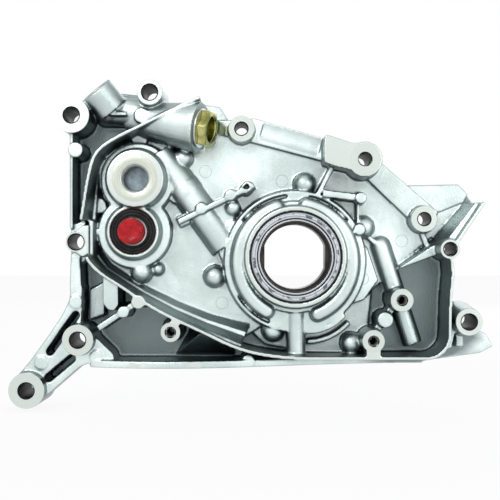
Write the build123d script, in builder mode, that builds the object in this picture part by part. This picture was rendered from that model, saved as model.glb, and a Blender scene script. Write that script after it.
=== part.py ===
from build123d import *
from math import acos, atan2, cos, degrees, pi, radians, sin, tan
import os

# Engine front case with a crank-driven rotor oil pump, a relief valve and a reversing gear pair for
# a balance shaft. The case stands as it is bolted on: the crank axis runs along Y, the block face
# is the plane Y = 0 and the timing side faces -Y. Plan places are (right, up) from the crank axis,
# and a level is a distance in front of the block face. Sizes are in millimetres.

os.makedirs("parts", exist_ok=True)

# Clearances
RUNNING = 0.04
SIDE_PLAY = 0.05
HAIR = 0.05
LOBE_GAP = 0.1
COVER_GAP = 0.5

# Levels of the casting
FLOOR = 5.0
WING = 10.0
FIELD = 13.0
FIELD_WALL = 5.0
CORE = FIELD - FIELD_WALL
BAR = 17.0
GEAR_FRONT = 23.0
PUMP_FRONT = 24.5
ARM = 27.0
BOSS = 34.0
LIP = 36.0
LIP_WIDTH = 2.4
BENCH = 21.0
DRAFT = 2.0
STAND = (Align.CENTER, Align.CENTER, Align.MIN)

# Rear covers, the pockets that they close and their countersunk screws
COVER_REAR = 1.0
SEAT = 6.0
SCREW_R = 3.0
SCREW_END = 16.0
SCREW_HEAD_R = 5.8
SCREW_HEAD = 2.8
LUG_R = 8.0
KNOB = 24.0

# Rotor pump: the outer rotor has one lobe more than the inner one
INNER_LOBES = 9
OUTER_LOBES = INNER_LOBES + 1
OFFSET = 3.2
LOBE_CIRCLE = 38.7
LOBE_R = 7.0
ROTOR_WIDTH = 14.0
ROTOR_RIM = 6.0
CRANK_DRIVE_R = 23.2
CRANK_FLAT = 21.75
ROOT_CIRCLE = LOBE_CIRCLE + 2 * OFFSET - LOBE_R
ROTOR_R = ROOT_CIRCLE + ROTOR_RIM
ROTOR_CENTRE = (0.0, -OFFSET)
ROTOR_POCKET = SEAT + ROTOR_WIDTH + 2 * SIDE_PLAY
PUMP_R = 50.5
PORT_R = 34.5
PORT_WIDTH = 9.0
PORT_DEPTH = 6.0
BULGE_R = 40.5
BULGE_WIDTH = 12.0
BULGE_FRONT = 33.5
RIM_GROOVE = 2.4
RIM_GROOVE_R = PUMP_R - 3.6

# Crankshaft seal and its housing
CRANK_SHAFT_R = 25.0
CRANK_PASS_R = CRANK_SHAFT_R + 2.0
SEAL_SECTION = 7.5
CRANK_SEAL_R = CRANK_SHAFT_R + SEAL_SECTION
SEAL_SEAT = 27.4
SEAL_FACE = LIP - 0.4
SEAL_RIM_R = CRANK_SEAL_R + 3.0
SEAL_SHEET = 1.2

# Balance-shaft gears
TEETH = 17
MODULE = 2.2
PRESSURE = 20.0
BACKLASH = 0.12
GEAR_WIDTH = 12.0
TIP_GAP = 0.25
GEAR_BODY_R = 26.0
DRIVE_PLACE = (-115.1, 17.9)
GEAR_LEAN = 87.0
GEAR_SPREAD = TEETH * MODULE + 0.1
DRIVEN_PLACE = (
    DRIVE_PLACE[0] + GEAR_SPREAD * cos(radians(GEAR_LEAN)),
    DRIVE_PLACE[1] + GEAR_SPREAD * sin(radians(GEAR_LEAN)),
)
PITCH_R = TEETH * MODULE / 2
GEAR_R = PITCH_R + MODULE
GEAR_POCKET = SEAT + GEAR_WIDTH + 2 * SIDE_PLAY
HUB_R = 12.5
HUB_FRONT = 21.6
BALANCE_SHAFT_R = 9.0
BALANCE_SHAFT_END = 17.0

# Drive shaft, its bushes, seal and transport cap
SHAFT_R = 10.0
SHAFT_REAR = 1.5
SHAFT_STEP = 32.0
NOSE_R = 7.5
NOSE_END = 41.0
NOSE_SCREW_R = 3.4
BUSH_R = SHAFT_R + 2.0
SHAFT_SEAL_R = SHAFT_R + 6.0
SHAFT_SEAL_REAR = 24.3
SHAFT_SEAL_FRONT = 30.3
SHAFT_RIM_R = SHAFT_SEAL_R + 2.4
CAP_R = 9.2
CAP_REAR = 32.3
CAP_END = 44.0
KEY_WIDTH = 4.0
KEY_RISE = 1.8

# Threaded access hole over the driven gear
ACCESS_THREAD_R = 9.2
ACCESS_FACE_R = 20.2
ACCESS_FLOOR = 22.0

# Relief valve: depths are measured along its own axis, inwards from the face under the plug
RELIEF_FACE = (-67.8, 91.7)
RELIEF_LEVEL = 27.0
RELIEF_RISE = 16.0
RELIEF_DROP = 10.0
RELIEF_BOSS_R = 18.0
RELIEF_TAIL_R = 11.5
RELIEF_TAIL = 54.0
RELIEF_BORE_R = 8.0
RELIEF_SEAT = 42.0
RELIEF_END = 49.0
RELIEF_THREAD = 14.0
RELIEF_PORT_R = 3.5
PLUG_R = 10.0
PLUG_SHANK = 12.0
PLUG_FLATS = 24.0
PLUG_HEAD = 7.5
WASHER = 1.5
WASHER_R = 14.0
PLUNGER_LENGTH = 18.0
PLUNGER_WALL = 2.2
SPRING_WIRE_R = 0.9
SPRING_R = 4.6
SPRING_TURNS = 6

# Gallery port at the top left
GALLERY_END = (-141.5, 118.5)
GALLERY_LEVEL = 28.0
GALLERY_WAY = Vector(-0.6, -0.33, 0.73)
GALLERY_R = 12.0
GALLERY_PLUG_R = 6.5
GALLERY_PLUG = 4.0

# Screws of the block, the timing cover and the rear covers
BLOCK_BOLT_R = 5.5
FIELD_BOLT_R = 4.5
TIMING_THREAD_R = 3.4
TIMING_THREAD = 22.0
TOP_LEFT, TOP, LEFT = (-157.8, 99.8), (-102.8, 115.9), (-155.4, 10.6)
ARM_ROOT, ARM_END, EAR = (-153.4, -58.5), (-189.6, -94.1), (121.9, -45.7)
RAIL_END, CORNER, SLANT, FORK = (-38.3, 91.2), (48.5, 68.6), (91.8, 26.9), (108.2, 5.5)
TIMING_LEFT, TIMING_RIGHT, TIMING_LOW = (-88.0, -52.8), (74.5, -30.4), (54.5, -59.1)
PUMP_SCREWS = [(7.1, 52.7), (-57.9, -14.2), (-15.6, -53.6), (50.1, 21.5), (41.3, -62.7)]
GEAR_SCREWS = [(-112.0, 84.5), (-85.2, 44.0), (-110.6, -11.0), (-141.3, 37.0)]
PUMP_DISCS = [(ROTOR_CENTRE, ROTOR_R + 5)]
GEAR_DISCS = [(DRIVE_PLACE, GEAR_R + 6), (DRIVEN_PLACE, GEAR_R + 6)]


def front(level):
    """Plane parallel to the block face, this far in front of it, seen from the timing side."""
    return Plane(origin=(0, -level, 0), x_dir=(1, 0, 0), z_dir=(0, -1, 0))


def spot(place, level=0.0):
    """Plane like front, with its origin on a plan place."""
    return Plane(origin=(place[0], -level, place[1]), x_dir=(1, 0, 0), z_dir=(0, -1, 0))


def relief(depth):
    """Plane across the relief valve's axis at a depth below the face under its plug."""
    out = Vector(
        cos(radians(RELIEF_RISE)) * cos(radians(RELIEF_DROP)),
        -sin(radians(RELIEF_RISE)),
        -cos(radians(RELIEF_RISE)) * sin(radians(RELIEF_DROP)),
    )
    face = Vector(RELIEF_FACE[0], -RELIEF_LEVEL, RELIEF_FACE[1])
    return Plane(origin=face - out * depth, x_dir=out.cross(Vector(0, 1, 0)), z_dir=out)


def relief_place(depth):
    """Plan place of a point on the relief valve's axis."""
    origin = relief(depth).origin
    return (origin.X, origin.Z)


def gallery(depth):
    """Plane across the gallery port's axis at a depth below its end face."""
    end = Vector(GALLERY_END[0], -GALLERY_LEVEL, GALLERY_END[1])
    return Plane(origin=end - GALLERY_WAY.normalized() * depth, z_dir=GALLERY_WAY)


def turned(plane, outline):
    """Solid turned about a plane's normal from a (radius, height) outline."""
    with BuildSketch(Plane(plane.origin, x_dir=plane.x_dir, z_dir=plane.x_dir.cross(plane.z_dir))) as half:
        with BuildLine():
            Polyline(*outline, close=True)
        make_face()
    return revolve(half.sketch, axis=Axis(plane.origin, plane.z_dir), mode=Mode.PRIVATE)


def garter(plane, ring_r, wire_r):
    """Ring spring of a seal, plain and eight-sided in section."""
    corners = [radians(45 * turn + 22.5) for turn in range(8)]
    return turned(plane, [(ring_r + wire_r * cos(turn), wire_r * sin(turn)) for turn in corners])


def rods(planes, radius, length):
    """Cylinders that stand on planes."""
    with Locations(*planes):
        return Cylinder(radius, length, align=STAND, mode=Mode.PRIVATE)


def post(places, radius, top, draft=DRAFT, base=0.0):
    """Round cast bosses, a little wider at the foot."""
    flare = (top - base) * tan(radians(draft))
    with Locations(*[spot(place, base) for place in places]):
        return Cone(radius + flare, radius, top - base, align=STAND, mode=Mode.PRIVATE)


def bores(places, radius, low, high):
    """Cylinders square to the block face, between two levels."""
    return rods([spot(place, low) for place in places], radius, high - low)


def balls(places, radius, top):
    """Ball ends of round bosses."""
    with Locations(*[spot(place, top - radius) for place in places]):
        return Sphere(radius, mode=Mode.PRIVATE)


def knobs(places, radius, top):
    """Round bosses that end in a ball."""
    with BuildSketch(Plane.XZ) as half:
        with BuildLine():
            Polyline((0, top), (0, 0), (radius, 0), (radius, top - radius))
            CenterArc((0, top - radius), radius, 0, 90)
        make_face()
    knob = revolve(half.sketch, axis=Axis.Z, mode=Mode.PRIVATE)
    return [spot(place).location * knob for place in places]


def slab(points, base, top, draft=0.0):
    """Straight-sided region between two levels, narrower at the top by the draft."""
    with BuildSketch(front(base)) as region:
        with BuildLine():
            Polyline(*points, close=True)
        make_face()
    return extrude(region.sketch, amount=top - base, taper=draft, mode=Mode.PRIVATE)


def rib(points, width, top):
    """Upright wall of even width along straight runs."""
    with BuildSketch(front(0)) as strip:
        with BuildLine():
            Polyline(*points)
        trace(line_width=width)
    return extrude(strip.sketch, amount=top, mode=Mode.PRIVATE)


def curved_rib(start, middle, end, width, top):
    """Upright wall of even width along an arc."""
    with BuildSketch(front(0)) as strip:
        with BuildLine():
            ThreePointArc(start, middle, end)
        trace(line_width=width)
    return extrude(strip.sketch, amount=top, mode=Mode.PRIVATE)


def slope(foot, foot_level, crest, crest_level):
    """Sloping block between two outlines with as many corners each."""
    with BuildSketch(front(foot_level)) as low:
        with BuildLine():
            Polyline(*foot, close=True)
        make_face()
    with BuildSketch(front(crest_level)) as high:
        with BuildLine():
            Polyline(*crest, close=True)
        make_face()
    return loft([low.sketch.face(), high.sketch.face()], ruled=True, mode=Mode.PRIVATE)


def bench(crest, foot):
    """Cast slope in two steps from a foot line on the field up to the timing-cover lip."""
    def strip(index, share):
        near, far = [
            (a[0] + (b[0] - a[0]) * share, a[1] + (b[1] - a[1]) * share)
            for a, b in list(zip(crest, foot))[index:index + 2]
        ]
        return [crest[index], crest[index + 1], far, near]

    runs = range(len(crest) - 1)
    lower = [slope(strip(index, 1), FIELD - 1, strip(index, 0.62), BENCH) for index in runs]
    upper = [slope(strip(index, 0.45), BENCH, strip(index, 0.16), LIP - 3) for index in runs]
    return lower + upper


def tube(start, end, level, radius):
    """Round gallery wall that runs level between two plan places."""
    run = Vector(end[0] - start[0], 0, end[1] - start[1])
    return rods([Plane(origin=(start[0], -level, start[1]), z_dir=run)], radius, run.length)


def kidney(centre, base, top, radius, width, start, end, draft=0.0):
    """Crescent about a plan place between two levels."""
    with BuildSketch(spot(centre, base)) as crescent:
        SlotArc(Edge.make_circle(radius, start_angle=start, end_angle=end), width)
    return extrude(crescent.sketch, amount=top - base, taper=draft, mode=Mode.PRIVATE)


def bulge(start, end):
    """Port passage that swells from the pump body, rounded along its crest."""
    crescent = kidney(ROTOR_CENTRE, PUMP_FRONT - 1.5, BULGE_FRONT, BULGE_R, BULGE_WIDTH, start, end, 8)
    crest = crescent.edges().group_by(Axis.Y)[0]
    return crescent.solid().fillet(BULGE_WIDTH / 3, crest)


def cover_plate(base, top, discs, lugs, grow=0.0):
    """Plate between two levels whose outline is the hull of discs and screw lugs."""
    with BuildSketch(front(base)) as plan:
        for place, radius in discs:
            with Locations(place):
                Circle(radius + grow)
        with Locations(*lugs):
            Circle(LUG_R + grow)
        make_hull()
    return extrude(plan.sketch, amount=top - base, mode=Mode.PRIVATE)


def countersunk(place, radius, end):
    """Body of a countersunk screw, or of the hole for it."""
    return turned(spot(place), [
        (0, COVER_REAR), (SCREW_HEAD_R, COVER_REAR), (radius, COVER_REAR + SCREW_HEAD), (radius, end), (0, end),
    ])


def sockets(places):
    """Hexagon sockets of a set of screws."""
    with BuildSketch(front(COVER_REAR)) as hexagons:
        with Locations(*places):
            RegularPolygon(2.0, 6, major_radius=False)
    return extrude(hexagons.sketch, amount=2.0, mode=Mode.PRIVATE)


def key_bar():
    """Key between the drive gear and its shaft."""
    with BuildSketch(spot((DRIVE_PLACE[0] + SHAFT_R, DRIVE_PLACE[1]), SEAT + SIDE_PLAY)) as key_plan:
        Rectangle(2 * KEY_RISE, KEY_WIDTH)
    return extrude(key_plan.sketch, amount=GEAR_WIDTH, mode=Mode.PRIVATE)


def gear_disc(place, turn):
    """Spur gear with involute flanks; one tooth points at the turn angle."""
    base_r = PITCH_R * cos(radians(PRESSURE))
    root_r = PITCH_R - 1.25 * MODULE
    half = (pi * MODULE / 2 - BACKLASH) / (2 * PITCH_R) + tan(radians(PRESSURE)) - radians(PRESSURE)

    def flank(radius, tooth, side):
        roll = acos(min(base_r / radius, 1.0))
        angle = radians(turn) + tooth * 2 * pi / TEETH + side * (half - tan(roll) + roll)
        return (radius * cos(angle), radius * sin(angle))

    with BuildSketch(spot(place, SEAT + SIDE_PLAY)) as blank:
        with BuildLine():
            for tooth in range(TEETH):
                for side in (-1, 1):
                    base, tip = flank(base_r, tooth, side), flank(GEAR_R, tooth, side)
                    Line((base[0] * root_r / base_r, base[1] * root_r / base_r), base)
                    ThreePointArc(base, flank((base_r + GEAR_R) / 2, tooth, side), tip)
                Line(flank(GEAR_R, tooth, -1), flank(GEAR_R, tooth, 1))
                gap = (flank(base_r, tooth, 1), flank(base_r, tooth + 1, -1))
                Line(*[(x * root_r / base_r, y * root_r / base_r) for x, y in gap])
        make_face()
    return extrude(blank.sketch, amount=GEAR_WIDTH, mode=Mode.PRIVATE)


def save(builder, label):
    """Label a finished piece and write its STEP file."""
    builder.part.label = label
    export_step(builder.part, f"parts/{label}.step")


# Crest of the timing-cover lip and the feet of the slopes inside it
LIP_UPPER = [(-67.2, 112.0), (-88.2, 102.5), (-112.0, 90.6), (-130.2, 81.2), (-140.0, 72.8),
             (-144.6, 60.9), (-148.4, 39.9), (-150.8, 25.9)]
LIP_LOWER = [(-147.0, 0.0), (-137.2, -11.2), (-123.2, -20.3), (-110.6, -29.0), (-88.2, -42.0),
             (-67.2, -51.8), (-39.2, -64.4), (-11.2, -70.0), (10.0, -71.2)]
FOOT_UPPER = [(-115.0, 86.0), (-128.0, 78.0), (-134.5, 69.0), (-138.3, 59.0), (-138.8, 42.0),
              (-139.3, 25.0)]
FOOT_LOWER = [(-139.3, 4.9), (-132.7, -5.3), (-119.6, -14.0), (-105.1, -22.1), (-84.0, -32.0),
              (-60.0, -41.5), (-32.2, -48.3)]

with BuildPart() as front_case:
    # Mating flange, round from the top left boss, and the field inside the lip
    add([
        slab([
            (-165.7, 111.0), (-152.0, 111.0), (-146.0, 116.0), (-132.0, 121.0), (-112.0, 119.0), (-91.0, 113.5),
            (-76.0, 112.5), (-55.0, 110.0), (-50.0, 99.0), (-28.6, 100.4), (22.1, 85.9), (39.0, 80.5),
            (52.0, 80.5), (63.3, 67.9), (82.1, 52.5), (120.1, 53.2), (127.4, 45.9), (133.0, 38.5), (112.0, 10.0),
            (111.3, -8.3), (117.2, -32.4), (131.0, -42.0), (137.7, -54.9), (142.1, -57.1), (147.3, -66.0),
            (137.7, -71.2), (100.7, -76.3), (88.0, -78.5), (-136.0, -78.5), (-146.0, -74.0), (-153.1, -78.3),
            (-168.7, -91.8), (-180.0, -101.5), (-198.0, -85.0), (-188.7, -74.0), (-174.4, -54.1),
            (-165.9, -41.3), (-160.9, -30.7), (-159.5, -21.4), (-160.6, 27.0), (-160.6, 92.0), (-165.7, 88.5),
        ], 0, FLOOR),
        slab([
            (-150.0, 8.0), (-148.0, 40.0), (-144.0, 62.0), (-136.0, 76.0), (-112.0, 90.0), (-88.0, 102.0),
            (-67.0, 111.0), (-54.0, 109.0), (-47.0, 98.0), (-28.6, 100.0), (22.1, 85.5), (50.0, 78.0),
            (63.3, 67.5), (105.0, 32.0), (122.0, 39.0), (101.0, 15.0), (76.4, -5.3), (63.2, -18.4),
            (49.4, -31.5), (30.0, -33.0), (-20.0, -48.0), (-39.0, -60.0), (-88.0, -41.5), (-123.0, -20.0),
            (-146.0, -1.0),
        ], 0, FIELD),
        slab([(81.0, 52.3), (120.1, 53.0), (127.4, 45.7), (108.0, 12.0), (88.0, 12.0), (92.0, 42.0)], 0, WING),
    ])

    # Stiffening bars along the upper edge and the raised machined corner
    add([
        slab([(-57.0, 98.5), (-28.6, 100.2), (24.0, 85.2), (22.0, 69.0), (-33.0, 83.5), (-57.0, 89.5)], 0, BAR),
        slab([(50.0, 79.0), (63.3, 67.7), (104.0, 32.5), (98.0, 20.0), (83.6, 26.6), (53.2, 55.6), (42.0, 63.0)],
             0, BAR),
        slab([(20.0, 86.0), (24.5, 85.1), (39.2, 80.2), (46.0, 79.8), (48.0, 60.0), (37.8, 61.3), (27.3, 63.7),
              (20.0, 66.5)], 0, LIP),
        post([CORNER], 12.4, LIP),
    ])
    add(tube((-24.0, 91.4), (19.0, 79.2), BAR + 10.8, 13), mode=Mode.SUBTRACT)

    # Timing-cover lip
    with BuildSketch(front(0)) as lip:
        with BuildLine():
            Spline(*LIP_UPPER)
        trace(line_width=LIP_WIDTH)
        with BuildLine():
            Spline(*LIP_LOWER)
            Line(LIP_LOWER[-1], (92.0, -71.2))
            ThreePointArc((92.0, -71.2), (103.5, -66.2), (108.0, -55.0))
            Polyline((108.0, -55.0), (108.5, -30.0), (110.2, -12.0), (108.8, 4.0), (132.0, 38.5))
        trace(line_width=LIP_WIDTH)
    add([
        extrude(lip.sketch, amount=LIP, mode=Mode.PRIVATE),
        *bench(LIP_UPPER[2:], FOOT_UPPER),
        slope([(-147.0, 26.0), (-138.8, 26.0), (-138.8, 0.0), (-147.0, 0.0)], FIELD - 1,
              [(-147.0, 26.0), (-144.0, 26.0), (-144.0, 0.0), (-147.0, 0.0)], 27),
        *bench(LIP_LOWER[:-2], FOOT_LOWER),
        slope(
            [(108.8, 4.0), (132.0, 38.5), (122.5, 39.5), (100.5, 15.0)], WING - 1,
            [(108.8, 4.0), (132.0, 38.5), (127.5, 38.5), (105.0, 8.5)], LIP - 6,
        ),
        slope(
            [(74.0, -9.0), (76.0, -5.5), (101.0, 15.5), (110.0, 4.0)], FLOOR - 1,
            [(75.0, -8.5), (76.5, -7.0), (104.0, 11.0), (109.0, 4.0)], BENCH,
        ),
    ])

    # Left wall, squared boss and the arm with its two lightening slots
    add([
        rib([(-159.4, 95.0), (-159.4, 20.0)], 2.5, ARM),
        slab([(-155.4, 18.4), (-151.0, 22.4), (-146.4, 22.4), (-146.4, 2.0), (-151.0, 0.0), (-155.4, 2.8)], 0, 30),
        slab([(-160.6, 22.0), (-151.0, 26.0), (-148.0, 22.0), (-148.0, 0.0), (-152.0, -4.0), (-160.0, -2.0)], 0, 24),
        post([LEFT], 7.4, 30, 1),
        slab([(-159.8, 2.0), (-153.2, 2.0), (-151.5, -38.0), (-160.0, -36.0), (-160.6, -20.0)], 0, ARM),
        slab([
            (-159.8, -21.4), (-160.9, -30.7), (-165.9, -41.3), (-174.4, -54.1), (-188.7, -74.0), (-198.0, -85.0),
            (-180.0, -101.5), (-168.7, -91.8), (-153.1, -78.3), (-144.0, -74.5), (-128.0, -74.5),
            (-130.0, -68.5), (-138.0, -61.0), (-152.5, -46.0), (-151.5, -21.4),
        ], 0, ARM),
    ])
    for start, end, width in (((-156.2, -41.5), (-174.6, -67.4), 5.6), ((-175.6, -86.0), (-159.5, -72.5), 6.0)):
        run = Vector(*end) - Vector(*start)
        with BuildSketch(front(FLOOR)) as slot:
            with Locations((Vector(*start) + Vector(*end)) / 2):
                SlotCenterToCenter(run.length, width, rotation=degrees(atan2(run.Y, run.X)))
        extrude(slot.sketch, amount=BOSS, mode=Mode.SUBTRACT)

    # Bosses of the block bolts
    with BuildSketch(spot(TOP_LEFT)) as corner_boss:
        Circle(12.6)
        with Locations((2.5, -0.8)):
            Rectangle(20.6, 23.0, mode=Mode.INTERSECT)
    extrude(corner_boss.sketch, amount=BOSS, taper=0.5)
    add([
        post([TOP], 9.0, BOSS),
        post([ARM_ROOT], 11.0, BOSS, 1),
        post([ARM_END], 12.7, BOSS, 1),
        post([EAR], 9.6, BOSS, 6),
        post([RAIL_END, SLANT], 9.4, ARM),
        post([FORK], 6.9, LIP),
    ])

    # Webs of the ear and the shelf of the lower edge
    with BuildSketch(Plane.XY.offset(-78.5)) as rail:
        with BuildLine():
            Spline((-146, -27), (-100, -35), (-62, -33), (-20, -24), (20, -14), (60, -7), (95, -5))
            Polyline((95, -5), (95, 0), (-146, 0), (-146, -27))
        make_face()
    add([
        extrude(rail.sketch, amount=5, mode=Mode.PRIVATE),
        slab([(106.0, -55.0), (112.0, -40.0), (118.0, -42.0), (113.0, -66.0), (106.0, -68.0)], 0, 24, 3),
        slab([(116.0, -54.0), (123.0, -54.0), (124.0, -66.0), (117.0, -66.0)], 0, 15, 3),
    ])

    # Pump body, port bulges and crank seal housing
    add([
        cover_plate(0, SEAT + FIELD_WALL, PUMP_DISCS, PUMP_SCREWS, 3.5),
        *knobs(PUMP_SCREWS, LUG_R, KNOB),
    ])
    add(post([ROTOR_CENTRE], PUMP_R, PUMP_FRONT, 7))
    add([
        slab([(-55.3, 1.4), (-54.6, 12.4), (-49.7, 24.7), (-38.7, 29.0), (-38.0, -22.0), (-46.5, -17.0)], 0, BENCH, 3),
        slab([(38.0, 24.0), (46.0, 14.0), (53.0, 7.0), (58.0, -8.0), (61.0, -17.0), (50.4, -31.6), (38.0, -36.0)],
             0, BENCH, 3),
    ])
    add([
        kidney(ROTOR_CENTRE, BENCH, LIP, RIM_GROOVE_R, RIM_GROOVE, 98, 142),
        kidney(ROTOR_CENTRE, BENCH, LIP, RIM_GROOVE_R, RIM_GROOVE, 212, 246),
        kidney(ROTOR_CENTRE, BENCH, LIP, RIM_GROOVE_R, RIM_GROOVE, 38, 78),
    ], mode=Mode.SUBTRACT)
    add([bulge(109, 240), bulge(-67, 79)])
    add(turned(spot((0, 0)), [
        (0, 20), (SEAL_RIM_R + 5, 20), (SEAL_RIM_R + 4, 28), (SEAL_RIM_R + 1, 28.5), (SEAL_RIM_R + 0.6, 35),
        (SEAL_RIM_R, LIP), (0, LIP),
    ]))

    # Gear bodies, access boss and shaft seal boss
    add([
        cover_plate(0, SEAT + FIELD_WALL, GEAR_DISCS, GEAR_SCREWS, 3.5),
        post([DRIVE_PLACE, DRIVEN_PLACE], GEAR_BODY_R, GEAR_FRONT, 3),
        post([DRIVEN_PLACE], ACCESS_FACE_R, BOSS, 10, GEAR_FRONT - 2),
        post([DRIVE_PLACE], SHAFT_RIM_R, SHAFT_SEAL_FRONT + 0.7, 14, GEAR_FRONT - 2),
    ])
    add(post(GEAR_SCREWS[:2] + GEAR_SCREWS[3:], 5.5, SCREW_END + 3))
    add([*knobs(GEAR_SCREWS[2:3], LUG_R, KNOB), *knobs([(-98.9, -8.8)], 4.6, 19)])

    # Relief valve body, gallery port and the lump beside it
    add([
        turned(relief(RELIEF_TAIL), [(0, 0), (RELIEF_TAIL_R, 0), (RELIEF_BOSS_R, RELIEF_TAIL), (0, RELIEF_TAIL)]),
        slab([(-112.0, 117.0), (-91.0, 113.0), (-76.0, 112.0), (-63.0, 110.0), (-67.5, 84.0), (-110.0, 92.0)],
             0, 19, 6),
        slab([(-147.0, 100.0), (-149.0, 110.0), (-144.0, 115.0), (-131.0, 118.0), (-112.0, 117.0), (-116.0, 95.0),
              (-140.0, 95.0)], 0, BAR - 2, 5),
        *knobs([(-80.6, 71.4)], 7.3, 22),
    ])
    add(rods([gallery(18)], GALLERY_R, 18))
    add(tube((-133.5, 106.5), (-104.0, 101.5), BAR - 1, 10.6))
    add(balls([(-133.5, 106.5)], 11.4, 27.6))
    add(slab([(-134.0, 97.5), (-135.0, 103.0), (-129.0, 106.5), (-117.5, 105.5), (-116.5, 97.5)], 0, 28, 6))

    # Bosses of the timing cover, with the web of each
    add([
        post([TIMING_LEFT], 7.0, LIP),
        rib([(-88.0, -50.0), (-83.0, -44.5)], 6.0, LIP),
        post([TIMING_RIGHT], 8.2, LIP, 1),
        post([TIMING_LOW], 8.0, LIP),
        rib([(54.5, -60.0), (54.5, -71.0)], 10.0, LIP),
        rib([TIMING_RIGHT, TIMING_LOW], 5.0, BENCH),
        post([(64.5, -45.0)], 5.7, 26),
    ])

    # Oil gallery walls and the ribs of the field
    add([
        tube((-98.0, 74.7), (-50.0, 7.5), 13, 11.3),
        rib([(-83.5, 24.8), (-29.4, 51.2)], 4.0, ARM),
        rib([(-83.8, 24.6), (-76.5, 28.2)], 8.0, ARM - 3),
        slab([(-40.1, 50.0), (-35.8, 55.0), (-31.0, 54.3), (-29.8, 47.1), (-34.6, 43.4), (-39.5, 45.9)], 0, ARM - 1, 2),
        slab([(-64.0, 36.0), (-42.0, 45.0), (-36.0, 32.0), (-50.0, 20.0)], 0, 20, 5),
        rib([(0.8, -34.0), (0.8, -70.0)], 12.0, 20),
        curved_rib((8.0, -53.9), (23.6, -50.8), (35.7, -41.6), 2.6, PUMP_FRONT),
        curved_rib((9.0, -61.6), (26.0, -57.6), (39.3, -47.6), 3.0, BAR),
        tube((62.8, 7.8), (86.2, -63.3), 12, 7.2),
        rib([(66.0, 4.0), (49.0, 18.0)], 3.0, BAR),
        rib([(26.7, 64.5), (16.8, 45.0)], 3.0, PUMP_FRONT),
        rib([(20.0, 45.5), (48.0, 42.0)], 5.0, ARM - 1),
        rib([(45.6, 42.0), (45.0, 22.0)], 1.8, GEAR_FRONT),
        rib([(91.5, 20.0), (96.0, 8.0)], 3.5, BAR),
    ])

    add(tube((-81.4, 51.5), (-76.8, 45.0), 13, 11.8))
    add([tube((0.8, -34.0), (0.8, -70.0), 20, 7), balls([(-44.4, 35.2)], 6, 25), balls([(62.8, 7.8)], 7.2, 19.2)])
    add(slab([(-38.0, 49.0), (-34.0, 52.6), (-32.2, 48.2)], 20, BOSS), mode=Mode.SUBTRACT)

    # Recess walls at the left, between the lip and the arm
    add([
        slab([(-137.0, -10.0), (-125.0, -18.0), (-125.0, -34.0), (-128.0, -38.5), (-133.0, -38.0), (-137.0, -33.0)],
             0, 30, 1),
        slab([(-149.0, -24.0), (-138.0, -18.0), (-138.0, -42.0), (-149.0, -46.0)], 0, 14),
        rib([(-110.6, -31.0), (-140.0, -50.8)], 4.2, 30),
        slope(
            [(-88.0, -73.0), (-74.0, -50.0), (-44.0, -64.0), (-44.0, -73.0)], FLOOR - 1,
            [(-68.0, -54.0), (-66.0, -52.5), (-48.0, -61.0), (-49.0, -63.0)], 30,
        ),
    ])

    # Ejector pads and small stand-offs of the casting
    add([
        post([(-155.9, 75.9), (-109.0, 100.3)], 5.4, 30, 1),
        post([(-155.9, -32.0), (-180.6, -75.3), (-141.4, -71.1)], 4.5, ARM + 1, 1),
        post([(-110.6, -31.5)], 4.9, LIP + 0.3, 1),
        post([(-121.8, -39.0)], 4.2, 31, 1),
        post([(-66.8, 34.5), (-46.1, 44.1), (47.0, 42.0), (45.8, 19.5)], 4.1, ARM + 0.8, 1),
        post([(-33.6, -74.0)], 4.5, ARM, 1),
    ])

    # Pockets of the rotors and gears, with the recesses of their covers and the ports
    add([
        cover_plate(-1, SEAT, PUMP_DISCS, PUMP_SCREWS, COVER_GAP),
        cover_plate(-1, SEAT, GEAR_DISCS, GEAR_SCREWS, COVER_GAP),
        bores([ROTOR_CENTRE], ROTOR_R + 2 * RUNNING, SEAT - 1, ROTOR_POCKET),
        bores([DRIVE_PLACE, DRIVEN_PLACE], GEAR_R + TIP_GAP, SEAT - 1, GEAR_POCKET),
        kidney((0, 0), ROTOR_POCKET - 1, ROTOR_POCKET + PORT_DEPTH, PORT_R, PORT_WIDTH, 112, 242),
        kidney((0, 0), ROTOR_POCKET - 1, ROTOR_POCKET + PORT_DEPTH, PORT_R, PORT_WIDTH, -65, 77),
        bores(PUMP_SCREWS + GEAR_SCREWS, SCREW_R, SEAT - 1, SCREW_END + 0.5),
    ], mode=Mode.SUBTRACT)

    # Cores behind the field, which keep its wall even
    add([
        slab([(60.0, 42.0), (75.0, 32.0), (86.0, 18.0), (74.0, 2.0), (66.0, -1.0), (64.0, 16.0)], 0, CORE, 3),
        slab([(-20.0, 82.0), (-32.0, 70.0), (-22.0, 56.0), (-4.0, 64.0), (-6.0, 78.0)], 0, CORE, 3),
        slab([(2.0, 76.0), (2.0, 66.0), (18.0, 61.0), (34.0, 56.0), (26.0, 70.0)], 0, CORE, 3),
        slab([(-84.0, -20.0), (-66.0, -24.0), (-60.0, -34.0), (-52.0, -42.0), (-78.0, -34.0)], 0, CORE, 3),
    ], mode=Mode.SUBTRACT)

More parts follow.
